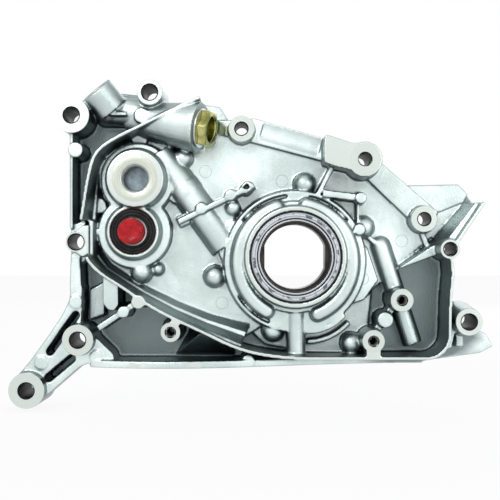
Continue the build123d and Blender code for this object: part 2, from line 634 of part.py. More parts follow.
    # Crank passage, shaft bores, seal seats and the access hole
    add([
        bores([(0, 0)], CRANK_PASS_R, ROTOR_POCKET - 1, SEAL_SEAT + 1),
        bores([(0, 0)], CRANK_SEAL_R, SEAL_SEAT, LIP + 1),
        bores([DRIVE_PLACE], BUSH_R, GEAR_POCKET - 1, SHAFT_SEAL_REAR + 1),
        bores([DRIVE_PLACE], SHAFT_SEAL_R, SHAFT_SEAL_REAR, BOSS),
        bores([DRIVEN_PLACE], HUB_R + RUNNING, GEAR_POCKET - 1, ACCESS_FLOOR),
        bores([DRIVEN_PLACE], ACCESS_THREAD_R, ACCESS_FLOOR - 1, BOSS + 1),
        turned(spot(DRIVEN_PLACE, BOSS), [
            (0, -1.1), (ACCESS_THREAD_R, -1.1), (ACCESS_THREAD_R + 1.1, 0), (ACCESS_THREAD_R + 1.1, 1), (0, 1),
        ]),
    ], mode=Mode.SUBTRACT)

    # Relief valve: face of its plug, stepped bore and the two ports that open it to the block side
    add([
        rods([relief(0)], WASHER_R + 1.5, 14),
        rods([relief(RELIEF_THREAD)], PLUG_R, RELIEF_THREAD + 1),
        rods([relief(RELIEF_SEAT)], RELIEF_BORE_R, RELIEF_SEAT),
        rods([relief(RELIEF_END)], RELIEF_BORE_R - 2, RELIEF_END),
        bores([relief_place(RELIEF_SEAT + 3), relief_place(RELIEF_SEAT - 8)], RELIEF_PORT_R, -1, BAR),
    ], mode=Mode.SUBTRACT)

    # Gallery bore, bolt holes and threads
    add([
        rods([gallery(20)], GALLERY_PLUG_R - 2, 21),
        rods([gallery(GALLERY_PLUG)], GALLERY_PLUG_R, GALLERY_PLUG + 2),
        bores([TOP_LEFT, TOP, LEFT, ARM_ROOT, ARM_END, EAR], BLOCK_BOLT_R, -1, LIP + 1),
        bores([RAIL_END, CORNER, SLANT, FORK], FIELD_BOLT_R, -1, LIP + 1),
        bores([TIMING_LEFT, TIMING_RIGHT, TIMING_LOW], TIMING_THREAD_R, LIP - TIMING_THREAD, LIP + 1),
    ], mode=Mode.SUBTRACT)
save(front_case, "front_case")

with BuildPart() as crank_seal_shell:
    add(turned(spot((0, 0)), [
        (CRANK_SEAL_R, SEAL_SEAT), (CRANK_SEAL_R, SEAL_FACE), (CRANK_SHAFT_R + 2.2, SEAL_FACE),
        (CRANK_SHAFT_R + 2.2, SEAL_FACE - SEAL_SHEET), (CRANK_SEAL_R - SEAL_SHEET, SEAL_FACE - SEAL_SHEET),
        (CRANK_SEAL_R - SEAL_SHEET, SEAL_SEAT),
    ]))
save(crank_seal_shell, "crank_seal_shell")

with BuildPart() as crank_seal_lip:
    add(turned(spot((0, 0)), [
        (CRANK_SEAL_R - SEAL_SHEET, SEAL_FACE - SEAL_SHEET), (CRANK_SHAFT_R + 2.2, SEAL_FACE - SEAL_SHEET),
        (CRANK_SHAFT_R + 2.2, SEAL_FACE - 0.2), (CRANK_SHAFT_R + 1.0, SEAL_FACE - 0.2),
        (CRANK_SHAFT_R, SEAL_FACE - 1.6), (CRANK_SHAFT_R, SEAL_FACE - 4.6), (CRANK_SHAFT_R + 1.2, SEAL_FACE - 6.2),
        (CRANK_SHAFT_R + 3.4, SEAL_FACE - 6.2), (CRANK_SHAFT_R + 3.4, SEAL_FACE - 3.4),
        (CRANK_SEAL_R - SEAL_SHEET, SEAL_FACE - 2.4),
    ]))
save(crank_seal_lip, "crank_seal_lip")

with BuildPart() as crank_seal_spring:
    add(garter(spot((0, 0), SEAL_FACE - 4.7), CRANK_SHAFT_R + 4.2, 0.8))
save(crank_seal_spring, "crank_seal_spring")

with BuildPart() as shaft_seal_lip:
    add(turned(spot(DRIVE_PLACE), [
        (SHAFT_SEAL_R, SHAFT_SEAL_REAR), (SHAFT_SEAL_R, SHAFT_SEAL_FRONT), (SHAFT_R + 1.4, SHAFT_SEAL_FRONT),
        (SHAFT_R + RUNNING, SHAFT_SEAL_FRONT - 1.1), (SHAFT_R + RUNNING, SHAFT_SEAL_FRONT - 2.9),
        (SHAFT_R + 0.8, SHAFT_SEAL_REAR + 1.3), (SHAFT_R + 2.2, SHAFT_SEAL_REAR + 1.3),
        (SHAFT_R + 2.2, SHAFT_SEAL_FRONT - 1.8), (SHAFT_SEAL_R - 0.8, SHAFT_SEAL_FRONT - 1),
        (SHAFT_SEAL_R - 0.8, SHAFT_SEAL_REAR),
    ]))
save(shaft_seal_lip, "shaft_seal_lip")

with BuildPart() as shaft_seal_shell:
    add(turned(spot(DRIVE_PLACE), [
        (SHAFT_SEAL_R - 0.8, SHAFT_SEAL_REAR), (SHAFT_SEAL_R - 0.8, SHAFT_SEAL_FRONT - 1),
        (SHAFT_R + 3.2, SHAFT_SEAL_FRONT - 1.66), (SHAFT_R + 3.2, SHAFT_SEAL_FRONT - 2.5),
        (SHAFT_SEAL_R - 1.6, SHAFT_SEAL_FRONT - 2), (SHAFT_SEAL_R - 1.6, SHAFT_SEAL_REAR),
    ]))
save(shaft_seal_shell, "shaft_seal_shell")

with BuildPart() as shaft_seal_spring:
    add(garter(spot(DRIVE_PLACE, SHAFT_SEAL_REAR + 2.3), SHAFT_R + 2.7, 0.5))
save(shaft_seal_spring, "shaft_seal_spring")

with BuildPart() as front_bush:
    add(bores([DRIVE_PLACE], BUSH_R, GEAR_POCKET + 0.4, SHAFT_SEAL_REAR - 0.4))
    add(bores([DRIVE_PLACE], SHAFT_R + RUNNING, 0, BOSS), mode=Mode.SUBTRACT)
save(front_bush, "front_bush")

with BuildPart() as rear_bush:
    add(bores([DRIVE_PLACE], BUSH_R, COVER_REAR, SEAT - 0.2))
    add(bores([DRIVE_PLACE], SHAFT_R + RUNNING, 0, BOSS), mode=Mode.SUBTRACT)
save(rear_bush, "rear_bush")

with BuildPart() as drive_shaft:
    add(turned(spot(DRIVE_PLACE), [
        (0, SHAFT_REAR), (SHAFT_R - 0.6, SHAFT_REAR), (SHAFT_R, SHAFT_REAR + 0.6), (SHAFT_R, SHAFT_STEP - 1),
        (SHAFT_R - 1, SHAFT_STEP), (NOSE_R, SHAFT_STEP), (NOSE_R, NOSE_END - 0.8), (NOSE_R - 0.8, NOSE_END),
        (0, NOSE_END),
    ]))
    add([bores([DRIVE_PLACE], NOSE_SCREW_R, NOSE_END - 18, NOSE_END + 1), key_bar()], mode=Mode.SUBTRACT)
save(drive_shaft, "drive_shaft")

with BuildPart() as drive_gear_key:
    add(key_bar())
save(drive_gear_key, "drive_gear_key")

with BuildPart() as drive_gear:
    add(gear_disc(DRIVE_PLACE, GEAR_LEAN))
    add([bores([DRIVE_PLACE], SHAFT_R, 0, BOSS), key_bar()], mode=Mode.SUBTRACT)
save(drive_gear, "drive_gear")

with BuildPart() as driven_gear:
    add(gear_disc(DRIVEN_PLACE, GEAR_LEAN + 180 * (1 + 1 / TEETH)))
    add(bores([DRIVEN_PLACE], HUB_R, COVER_REAR, HUB_FRONT))
    add(bores([DRIVEN_PLACE], BALANCE_SHAFT_R, 0, BALANCE_SHAFT_END), mode=Mode.SUBTRACT)
save(driven_gear, "driven_gear")

with BuildPart() as transport_cap:
    add(turned(spot(DRIVE_PLACE), [
        (0, NOSE_END + SIDE_PLAY), (NOSE_R + HAIR, NOSE_END + SIDE_PLAY), (NOSE_R + HAIR, CAP_REAR),
        (CAP_R, CAP_REAR), (CAP_R, CAP_END - 1.6), (CAP_R - 0.5, CAP_END - 0.5), (CAP_R - 1.6, CAP_END),
        (CAP_R - 3.2, CAP_END), (CAP_R - 3.6, CAP_END - 0.7), (0, CAP_END - 0.7),
    ]))
save(transport_cap, "transport_cap")

with BuildPart() as gear_cover:
    add(cover_plate(COVER_REAR, SEAT, GEAR_DISCS, GEAR_SCREWS))
    add([
        bores([DRIVE_PLACE], BUSH_R, 0, SEAT + 1),
        bores([DRIVEN_PLACE], HUB_R + RUNNING, 0, SEAT + 1),
        *[countersunk(place, SCREW_R, SEAT + 1) for place in GEAR_SCREWS],
    ], mode=Mode.SUBTRACT)
save(gear_cover, "gear_cover")

with BuildPart() as gear_cover_screws:
    add([countersunk(place, SCREW_R - HAIR, SCREW_END) for place in GEAR_SCREWS])
    add(sockets(GEAR_SCREWS), mode=Mode.SUBTRACT)
save(gear_cover_screws, "gear_cover_screws")

with BuildPart() as inner_rotor:
    # The lobe flanks are what the outer rotor's round lobes leave free as they roll past
    samples = 10 * INNER_LOBES
    path = []
    for step in range(samples):
        t = 2 * pi * step / samples
        roll = t + 0.75 * sin(INNER_LOBES * t) / INNER_LOBES
        slide = Vector(
            -LOBE_CIRCLE * sin(roll) - OUTER_LOBES * OFFSET * sin(OUTER_LOBES * roll),
            LOBE_CIRCLE * cos(roll) + OUTER_LOBES * OFFSET * cos(OUTER_LOBES * roll),
        ).normalized()
        along = LOBE_CIRCLE * cos(roll) + OFFSET * cos(OUTER_LOBES * roll) - (LOBE_R + LOBE_GAP) * slide.Y
        across = LOBE_CIRCLE * sin(roll) + OFFSET * sin(OUTER_LOBES * roll) + (LOBE_R + LOBE_GAP) * slide.X
        path.append((across, -along))
    with BuildSketch(front(SEAT + SIDE_PLAY)) as inner_plan:
        with BuildLine():
            for step in range(0, samples, 2):
                ThreePointArc(path[step], path[step + 1], path[(step + 2) % samples])
        make_face()
    extrude(inner_plan.sketch, amount=ROTOR_WIDTH)
    with BuildSketch(front(SEAT)) as crank_drive:
        Circle(CRANK_DRIVE_R)
        Rectangle(2 * CRANK_FLAT, 3 * CRANK_DRIVE_R, mode=Mode.INTERSECT)
    extrude(crank_drive.sketch, amount=ROTOR_WIDTH + 1, mode=Mode.SUBTRACT)
save(inner_rotor, "inner_rotor")

with BuildPart() as outer_rotor:
    with BuildSketch(spot(ROTOR_CENTRE, SEAT + SIDE_PLAY)) as outer_plan:
        Circle(ROTOR_R)
        Circle(ROOT_CIRCLE, mode=Mode.SUBTRACT)
        with PolarLocations(LOBE_CIRCLE, OUTER_LOBES, start_angle=-90):
            Circle(LOBE_R)
        Circle(ROTOR_R, mode=Mode.INTERSECT)
    extrude(outer_plan.sketch, amount=ROTOR_WIDTH)
save(outer_rotor, "outer_rotor")

with BuildPart() as pump_cover:
    add(cover_plate(COVER_REAR, SEAT, PUMP_DISCS, PUMP_SCREWS))
    add([
        bores([(0, 0)], CRANK_SHAFT_R + 0.5, 0, SEAT + 1),
        *[countersunk(place, SCREW_R, SEAT + 1) for place in PUMP_SCREWS],
    ], mode=Mode.SUBTRACT)
save(pump_cover, "pump_cover")

with BuildPart() as pump_cover_screws:
    add([countersunk(place, SCREW_R - HAIR, SCREW_END) for place in PUMP_SCREWS])
    add(sockets(PUMP_SCREWS), mode=Mode.SUBTRACT)
save(pump_cover_screws, "pump_cover_screws")

with BuildPart() as relief_washer:
    add(turned(relief(0), [(PLUG_R, 0), (WASHER_R, 0), (WASHER_R, WASHER), (PLUG_R, WASHER)]))
save(relief_washer, "relief_washer")

with BuildPart() as relief_plug:
    HEAD_TOP = WASHER + PLUG_HEAD
    SHANK_END = WASHER - PLUG_SHANK
    CORNER_R = PLUG_FLATS / 2 + 3
    with BuildSketch(relief(-WASHER)) as hexagon:
        RegularPolygon(PLUG_FLATS / 2, 6, major_radius=False)
    extrude(hexagon.sketch, amount=PLUG_HEAD)
    add(turned(relief(0), [
        (PLUG_FLATS / 2 - 0.4, HEAD_TOP), (CORNER_R, HEAD_TOP - 2), (CORNER_R, HEAD_TOP + 1),
        (PLUG_FLATS / 2 - 0.4, HEAD_TOP + 1),
    ]), mode=Mode.SUBTRACT)
    add(turned(relief(0), [
        (0, SHANK_END), (PLUG_R - 1, SHANK_END), (PLUG_R - HAIR, SHANK_END + 1), (PLUG_R - HAIR, WASHER),
        (0, WASHER),
    ]))
    add([
        turned(relief(0), [
            (0, HEAD_TOP - 6), (8.6, HEAD_TOP - 6), (8.6, HEAD_TOP - 1.6), (10.4, HEAD_TOP),
            (10.4, HEAD_TOP + 1), (0, HEAD_TOP + 1),
        ]),
        rods([relief(-SHANK_END)], SPRING_R + 1.5, 8),
    ], mode=Mode.SUBTRACT)
save(relief_plug, "relief_plug")

with BuildPart() as relief_plunger:
    PLUNGER_FLOOR = 3.0
    PLUNGER_REST = RELIEF_SEAT - 0.2
    add(rods([relief(PLUNGER_REST)], RELIEF_BORE_R - RUNNING, PLUNGER_LENGTH))
    add(rods([relief(PLUNGER_REST - PLUNGER_FLOOR)], RELIEF_BORE_R - PLUNGER_WALL, PLUNGER_LENGTH),
        mode=Mode.SUBTRACT)
save(relief_plunger, "relief_plunger")

with BuildPart() as relief_spring:
    foot = relief(PLUNGER_REST - PLUNGER_FLOOR - SPRING_WIRE_R - HAIR)
    head = relief(-SHANK_END - 8 + SPRING_WIRE_R + HAIR)
    height = (head.origin - foot.origin).length
    with BuildLine() as coil:
        Helix(height / SPRING_TURNS, height, SPRING_R, center=foot.origin, direction=foot.z_dir)
    with BuildSketch(coil.line ^ 0):
        RegularPolygon(SPRING_WIRE_R, 6)
    sweep(path=coil.line, is_frenet=True)
save(relief_spring, "relief_spring")

with BuildPart() as gallery_plug:
    add(turned(gallery(0), [
        (0, -GALLERY_PLUG), (GALLERY_PLUG_R, -GALLERY_PLUG), (GALLERY_PLUG_R, -0.9), (GALLERY_PLUG_R - 0.5, -0.4),
        (0.9, -0.4), (0, -1.2),
    ]))
save(gallery_plug, "gallery_plug")
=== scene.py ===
import math

import bmesh
import bpy
from mathutils import Matrix, Vector
from mathutils.bvhtree import BVHTree


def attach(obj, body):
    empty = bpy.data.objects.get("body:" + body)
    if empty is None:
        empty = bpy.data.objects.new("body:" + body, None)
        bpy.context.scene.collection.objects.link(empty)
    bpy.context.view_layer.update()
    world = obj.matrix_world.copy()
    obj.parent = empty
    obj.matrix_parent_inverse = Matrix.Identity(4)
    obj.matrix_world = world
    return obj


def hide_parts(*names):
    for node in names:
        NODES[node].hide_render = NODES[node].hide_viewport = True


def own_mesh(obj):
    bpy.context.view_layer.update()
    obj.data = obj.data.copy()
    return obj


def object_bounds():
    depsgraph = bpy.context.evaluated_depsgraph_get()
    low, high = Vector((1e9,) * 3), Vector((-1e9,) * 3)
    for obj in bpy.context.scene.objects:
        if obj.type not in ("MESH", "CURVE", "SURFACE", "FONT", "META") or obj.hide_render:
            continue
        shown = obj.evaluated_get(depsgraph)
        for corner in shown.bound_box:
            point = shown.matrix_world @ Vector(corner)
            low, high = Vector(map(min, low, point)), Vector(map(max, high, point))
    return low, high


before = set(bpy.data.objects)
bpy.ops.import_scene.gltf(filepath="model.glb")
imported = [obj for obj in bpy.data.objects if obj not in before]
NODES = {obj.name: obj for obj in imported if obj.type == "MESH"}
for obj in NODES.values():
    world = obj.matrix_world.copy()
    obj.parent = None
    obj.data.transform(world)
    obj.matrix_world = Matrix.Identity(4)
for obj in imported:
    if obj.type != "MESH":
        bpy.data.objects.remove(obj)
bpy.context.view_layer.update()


# Front case: an aluminium die casting, bead-blasted all over. The CAD node has sharp edges, where
# a casting is rounded, so its skin is made again from a merged copy with every edge softened.
# Painted shade darkens deep pockets, recess floors and walls that turn from the camera, and the milled
# levels come out bright.
CASE_VOXEL = 0.0008
CASE_TRIANGLES = 196000
CASE_SMOOTHING = 3
MERGE_DISTANCE = 0.000005
MILLED_LEVELS = (0.034, 0.036)
MILLED_TONE = (0.74, 0.80, 0.765, 1)
# The open tones are the faces square to the camera axis; the wall, sheltered, deep and recess tones are
# painted shade.
OPEN_TONES = ((0.63, 0.735, 0.715, 1), (0.84, 0.945, 0.92, 1))
WALL_SHADE_TONES = ((0.175, 0.218, 0.220, 1), (0.285, 0.338, 0.340, 1))
FLECK_TONE = (0.45, 0.47, 0.46, 1)
SHELTER_SHADE_TONE = (0.170, 0.198, 0.200, 1)
DEEP_SHADE_TONE = (0.060, 0.072, 0.076, 1)
RECESS_SHADE_TONE = (0.135, 0.170, 0.180, 1)
SHELTER_REACH = 0.045
SHELTER_RAYS = 14
SHELTER_START = 0.0003
SHELTER_FADE = 0.6


def node(tree, kind, inputs=None, **settings):
    """Adds a shader node; each input takes a plain value or another node's socket."""
    made = tree.nodes.new("ShaderNode" + kind)
    for name, value in settings.items():
        setattr(made, name, value)
    for name, value in (inputs or {}).items():
        if isinstance(value, bpy.types.NodeSocket):
            tree.links.new(value, made.inputs[name])
        else:
            made.inputs[name].default_value = value
    return made


def number(tree, operation, first, second=0.0):
    """Output of a Math node."""
    return node(tree, "Math", {0: first, 1: second}, operation=operation).outputs[0]


def ramp(tree, value, low, high, from_low=0.0, from_high=1.0, smooth=False):
    """Output of a clamped Map Range node."""
    kind = "SMOOTHSTEP" if smooth else "LINEAR"
    return node(
        tree, "MapRange",
        {"Value": value, "From Min": from_low, "From Max": from_high, "To Min": low, "To Max": high},
        interpolation_type=kind,
    ).outputs["Result"]


def mixed(tree, factor, first, second):
    """Colour between two colours, whose sockets on a Mix node are the seventh and eighth."""
    return node(tree, "Mix", {0: factor, 6: first, 7: second}, data_type="RGBA").outputs[2]


def group_tree(name, inputs, outputs):
    """Empty node group with named sockets, and its input and output nodes."""
    tree = bpy.data.node_groups.new(name, "ShaderNodeTree")
    for label, kind, value in inputs:
        socket = tree.interface.new_socket(label, in_out="INPUT", socket_type="NodeSocket" + kind)
        socket.default_value = value
    for label, kind in outputs:
        tree.interface.new_socket(label, in_out="OUTPUT", socket_type="NodeSocket" + kind)
    return tree, tree.nodes.new("NodeGroupInput").outputs, tree.nodes.new("NodeGroupOutput").inputs


def place_group(tree, group, **values):
    """Puts a node group in a material and gives its inputs."""
    made = tree.nodes.new("ShaderNodeGroup")
    made.node_tree = group
    for label, value in values.items():
        if isinstance(value, bpy.types.NodeSocket):
            tree.links.new(value, made.inputs[label])
        else:
            made.inputs[label].default_value = value
    return made.outputs


def new_material(name, **shader):
    """Material with a Principled shader; returns it, its tree, shader and Object coordinates."""
    made = bpy.data.materials.new(name)
    made.use_nodes = True
    tree = made.node_tree
    tree.nodes.clear()
    values = {key.replace("_", " "): value for key, value in shader.items()}
    principled = node(tree, "BsdfPrincipled", values)
    tree.links.new(principled.outputs[0], node(tree, "OutputMaterial").inputs["Surface"])
    return made, tree, principled, node(tree, "TexCoord").outputs["Object"]


def bump(tree, principled, height, depth, distance):
    """Feeds a height into the shader's normal."""
    made = node(tree, "Bump", {"Height": height, "Strength": depth, "Distance": distance})
    tree.links.new(made.outputs["Normal"], principled.inputs["Normal"])


def paint(obj, material):
    """Gives an object one material on all its faces."""
    obj.data.materials.clear()
    obj.data.materials.append(material)
    for face in obj.data.polygons:
        face.material_index = 0
        face.use_smooth = True


# A blasted surface is a fine grain over slow, cloudy changes of tone
blast, given, result = group_tree(
    "blasted_skin",
    [("Place", "Vector", (0, 0, 0)), ("Grain", "Float", 900.0), ("Cloud", "Float", 30.0)],
    [("Height", "Float"), ("Tone", "Float"), ("Fleck", "Float")],
)
grain = node(blast, "TexNoise", {"Vector": given["Place"], "Scale": given["Grain"], "Detail": 3.0})
dents = node(blast, "TexVoronoi", {"Vector": given["Place"], "Scale": given["Grain"]})
slow = node(
    blast, "TexNoise",
    {"Vector": given["Place"], "Scale": given["Cloud"], "Detail": 4.0, "Roughness": 0.6},
)
pitted = number(blast, "MULTIPLY", dents.outputs["Distance"], 0.5)
blast.links.new(number(blast, "ADD", grain.outputs["Fac"], pitted), result["Height"])
blast.links.new(ramp(blast, slow.outputs["Fac"], 0, 1, 0.35, 0.65, True), result["Tone"])
blast.links.new(ramp(blast, grain.outputs["Fac"], 0, 1, 0.60, 0.74), result["Fleck"])

# A turned face has fine rings; "away" is each point's distance from its piece's own axis
turned, given, result = group_tree(
    "turned_rings", [("Pitch", "Float", 0.0003)], [("Height", "Float"), ("Tone", "Float")],
)
away = node(turned, "Attribute", attribute_name="away").outputs["Fac"]
turns = number(turned, "DIVIDE", away, given["Pitch"])
turned.links.new(number(turned, "PINGPONG", turns, 0.5), result["Height"])
streak = node(turned, "TexNoise", {"Scale": 0.7, "Detail": 3.0, "W": turns}, noise_dimensions="1D")
turned.links.new(ramp(turned, streak.outputs["Fac"], 0, 1, 0.3, 0.7), result["Tone"])


def casting_material():
    """Blasted aluminium with bright milled levels; its grey walls, dark pockets and dark recess floors
    are painted shade.
    """
    made, tree, principled, place = new_material("cast_aluminium", Metallic=1.0)
    skin = place_group(tree, blast, Place=place, Grain=850.0, Cloud=22.0)
    level = number(tree, "MULTIPLY", node(tree, "SeparateXYZ", {0: place}).outputs[1], -1.0)
    facing = node(tree, "SeparateXYZ", {0: node(tree, "NewGeometry").outputs["Normal"]}).outputs[1]
    forward = number(tree, "MULTIPLY", facing, -1.0)
    flat = ramp(tree, forward, 0, 1, 0.93, 0.985)
    near = [
        ramp(tree, number(tree, "ABSOLUTE", number(tree, "SUBTRACT", level, cut)), 1, 0, 0.0003, 0.0006)
        for cut in MILLED_LEVELS
    ]
    milled = number(tree, "MULTIPLY", flat, number(tree, "MAXIMUM", *near))
    shelter = node(tree, "Attribute", attribute_name="shelter").outputs["Fac"]
    # Painted shade by facing: walls and slopes that turn from the camera axis take the darker wall tones,
    # and faces square to it keep the open tones.
    square = number(tree, "POWER", ramp(tree, number(tree, "ABSOLUTE", facing), 0, 1, 0.35, 0.99), 1.7)
    tone = mixed(tree, skin["Tone"], *OPEN_TONES)
    tone = mixed(tree, number(tree, "MULTIPLY", skin["Fleck"], 0.25), tone, FLECK_TONE)
    tone = mixed(tree, square, mixed(tree, skin["Tone"], *WALL_SHADE_TONES), tone)
    # Painted shade in pockets: the more the casting closes over a point, the darker its colour.
    tone = mixed(tree, ramp(tree, shelter, 0, 0.45, 0.20, 0.62, True), tone, SHELTER_SHADE_TONE)
    tone = mixed(tree, ramp(tree, shelter, 0, 0.7, 0.62, 0.92, True), tone, DEEP_SHADE_TONE)
    # Painted shade on recess floors: low, forward-facing floors with walls round them go darker.
    low = number(tree, "MULTIPLY", ramp(tree, forward, 0, 1, 0.25, 0.60),
                 ramp(tree, level, 1, 0, 0.0060, 0.0092))
    low = number(tree, "MULTIPLY", low, ramp(tree, shelter, 0, 1, 0.08, 0.26))
    tone = mixed(tree, number(tree, "MULTIPLY", low, 0.85), tone, RECESS_SHADE_TONE)
    tree.links.new(mixed(tree, milled, tone, MILLED_TONE), principled.inputs["Base Color"])
    rough = number(tree, "ADD", number(tree, "MULTIPLY", skin["Tone"], 0.08), 0.34)
    tree.links.new(ramp(tree, milled, rough, 0.26), principled.inputs["Roughness"])
    height = number(tree, "MULTIPLY", skin["Height"], ramp(tree, milled, 1.0, 0.15))
    bump(tree, principled, height, 0.5, 0.0003)
    return made


def merged_copy(name, source):
    """New object with a CAD node's mesh, its loose triangles joined."""
    mesh = NODES[source].data.copy()
    form = bmesh.new()
    form.from_mesh(mesh)
    bmesh.ops.remove_doubles(form, verts=form.verts, dist=MERGE_DISTANCE)
    form.to_mesh(mesh)
    form.free()
    mesh.materials.clear()
    copy = bpy.data.objects.new(name, mesh)
    bpy.context.scene.collection.objects.link(copy)
    return copy


def bake_modifiers(obj):
    """Applies an object's modifiers to its mesh."""
    shaped = bpy.data.meshes.new_from_object(obj.evaluated_get(bpy.context.evaluated_depsgraph_get()))
    obj.modifiers.clear()
    obj.data = shaped


def mark_shelter(obj):
    """Stores on each point how much of the open space over it the casting itself closes off, which sets
    the painted shade in pockets.
    """
    mesh = obj.data
    corners = [tuple(face.vertices) for face in mesh.polygons]
    tree = BVHTree.FromPolygons([point.co for point in mesh.vertices], corners)
    fan = []
    for step in range(SHELTER_RAYS):
        rise = math.sqrt(1 - (step + 0.5) / SHELTER_RAYS)
        turn = step * math.pi * (3 - math.sqrt(5))
        flat = math.sqrt(1 - rise * rise)
        fan.append(Vector((flat * math.cos(turn), flat * math.sin(turn), rise)))
    values = []
    for point in mesh.vertices:
        lean = point.normal.to_track_quat("Z", "X").to_matrix()
        start = point.co + point.normal * SHELTER_START
        closed = 0.0
        for ray in fan:
            distance = tree.ray_cast(start, lean @ ray, SHELTER_REACH)[3]
            if distance is not None:
                closed += 1 - SHELTER_FADE * distance / SHELTER_REACH
        values.append(closed / SHELTER_RAYS)
    mesh.attributes.new("shelter", "FLOAT", "POINT").data.foreach_set("value", values)


case_skin = merged_copy("case_skin", "front_case")
remesh = case_skin.modifiers.new("skin", "REMESH")
remesh.mode = "VOXEL"
remesh.voxel_size = CASE_VOXEL
soften = case_skin.modifiers.new("soften", "SMOOTH")
soften.factor = 0.5
soften.iterations = CASE_SMOOTHING
bake_modifiers(case_skin)
thin = case_skin.modifiers.new("thin", "DECIMATE")
triangles = sum(len(face.vertices) - 2 for face in case_skin.data.polygons)
thin.ratio = min(1.0, CASE_TRIANGLES / triangles)
bake_modifiers(case_skin)
mark_shelter(case_skin)
paint(case_skin, casting_material())
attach(case_skin, "case")
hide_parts("front_case")


# Faces of the bolt bosses: each is milled square to its hole after casting, so it is flat, bright
# and crisp against the blasted metal, with the cutter's rings and a small chamfer at the hole.
# Each row is plan place, face level, face radius and hole radius; the smallest holes are tapped.
BOSS_FACES = {
    "face_top_left": (-0.1578, 0.0998, 0.034, 0.0125, 0.0055),
    "face_top": (-0.1028, 0.1159, 0.034, 0.0089, 0.0055),
    "face_left": (-0.1554, 0.0106, 0.030, 0.0073, 0.0055),
    "face_arm_root": (-0.1534, -0.0585, 0.034, 0.0109, 0.0055),
    "face_arm_end": (-0.1896, -0.0941, 0.034, 0.0126, 0.0055),
    "face_ear": (0.1219, -0.0457, 0.034, 0.0095, 0.0055),
    "face_rail_end": (-0.0383, 0.0912, 0.027, 0.0093, 0.0045),
    "face_corner": (0.0485, 0.0686, 0.036, 0.0112, 0.0045),
    "face_slant": (0.0918, 0.0269, 0.027, 0.0093, 0.0045),
    "face_fork": (0.1082, 0.0055, 0.036, 0.0068, 0.0045),
    "face_timing_left": (-0.0880, -0.0528, 0.036, 0.0069, 0.0034),
    "face_timing_right": (0.0745, -0.0304, 0.036, 0.0081, 0.0034),
    "face_timing_low": (0.0545, -0.0591, 0.036, 0.0079, 0.0034),
}
FACE_SKIM = 0.00008
FACE_DEPTH = 0.0016
FACE_EDGE = 0.0003
HOLE_CHAMFER = 0.0005
HOLE_LAND = 0.0002
LINER_WALL = 0.0006
LINER_STEP = 0.0001
THROUGH_END = 0.0006
TAPPED_DEPTH = 0.0215
TAPPED_RADIUS = 0.0034
SMOOTH_ANGLE = math.radians(32)
TOP_LEFT_CUTS = (((-0.1654, 0, 0), (-1, 0, 0)), ((0, 0, 0.1103), (0, 0, 1)))


def to_object(name, form):
    """Object made of a bmesh, smooth apart from its sharp edges."""
    mesh = bpy.data.meshes.new(name)
    form.to_mesh(mesh)
    form.free()
    mesh.shade_smooth()
    mesh.set_sharp_from_angle(angle=SMOOTH_ANGLE)
    made = bpy.data.objects.new(name, mesh)
    bpy.context.scene.collection.objects.link(made)
    return made


def cut_flat(form, spot, normal):
    """Cuts away what lies past a plane and closes the cut."""
    cut = bmesh.ops.bisect_plane(form, geom=form.verts[:] + form.edges[:] + form.faces[:],
                                 plane_co=spot, plane_no=normal, clear_outer=True)
    rim = [edge for edge in cut["geom_cut"] if isinstance(edge, bmesh.types.BMEdge)]
    bmesh.ops.contextual_create(form, geom=rim)


def spun_form(outline, place, way=(0, -1, 0), steps=96, bevel=0.0001, flats=0.0):
    """Turned form from (radius, height) points along an axis; flats cuts it to a hexagon that wide."""
    form = bmesh.new()
    loop = [form.verts.new((radius, 0, height)) for radius, height in outline]
    edges = [form.edges.new(pair) for pair in zip(loop, loop[1:] + loop[:1])]
    bmesh.ops.spin(form, geom=loop + edges, cent=(0, 0, 0), axis=(0, 0, 1), angle=math.tau, steps=steps,
                   use_merge=True)
    bmesh.ops.remove_doubles(form, verts=form.verts, dist=0.000001)
    bmesh.ops.dissolve_degenerate(form, edges=form.edges, dist=0.000001)
    for side in range(6 if flats else 0):
        normal = Vector((math.cos(side * math.pi / 3), math.sin(side * math.pi / 3), 0))
        cut_flat(form, normal * flats / 2, normal)
    bmesh.ops.recalc_face_normals(form, faces=form.faces)
    if bevel:
        sharp = [edge for edge in form.edges
                 if len(edge.link_faces) == 2 and edge.calc_face_angle() > SMOOTH_ANGLE]
        bmesh.ops.bevel(form, geom=sharp, offset=bevel, segments=2, profile=0.5, affect="EDGES",
                        material=-1)
    away = form.verts.layers.float.new("away")
    for point in form.verts:
        point[away] = math.hypot(point.co.x, point.co.y)
    turn = Vector(way).to_track_quat("Z", "X").to_matrix().to_4x4()
    bmesh.ops.transform(form, matrix=Matrix.Translation(place) @ turn, verts=form.verts)
    return form


def spun(name, outline, place, **settings):
    """Object turned from an outline."""
    return to_object(name, spun_form(outline, place, **settings))


def turned_metal(name, light, dark, pitch=0.0003, roughness=0.24, relief=0.3):
    """Cut metal with the tool's rings."""
    made, tree, principled, _ = new_material(name, Metallic=1.0)
    rings = place_group(tree, turned, Pitch=pitch)
    tree.links.new(mixed(tree, rings["Tone"], dark, light), principled.inputs["Base Color"])
    tree.links.new(ramp(tree, rings["Tone"], roughness + 0.10, roughness), principled.inputs["Roughness"])
    bump(tree, principled, rings["Height"], relief, 0.00005)
    return made


def settle(piece, body, slot, material, *replaced):
    """Gives a piece its material and body, and hides the CAD nodes that it stands for; the slot is not
    used.
    """
    piece.data.materials.append(material)
    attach(piece, body)
    if replaced:
        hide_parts(*replaced)


milled_aluminium = turned_metal("milled_aluminium", (0.76, 0.825, 0.775, 1), (0.62, 0.685, 0.65, 1))
# Near-black for the inside of the holes: painted shade, not the metal's own colour.
bore_painted_shade = turned_metal("bore_painted_shade", (0.034, 0.036, 0.044, 1), (0.012, 0.013, 0.017, 1),
                              roughness=0.45)

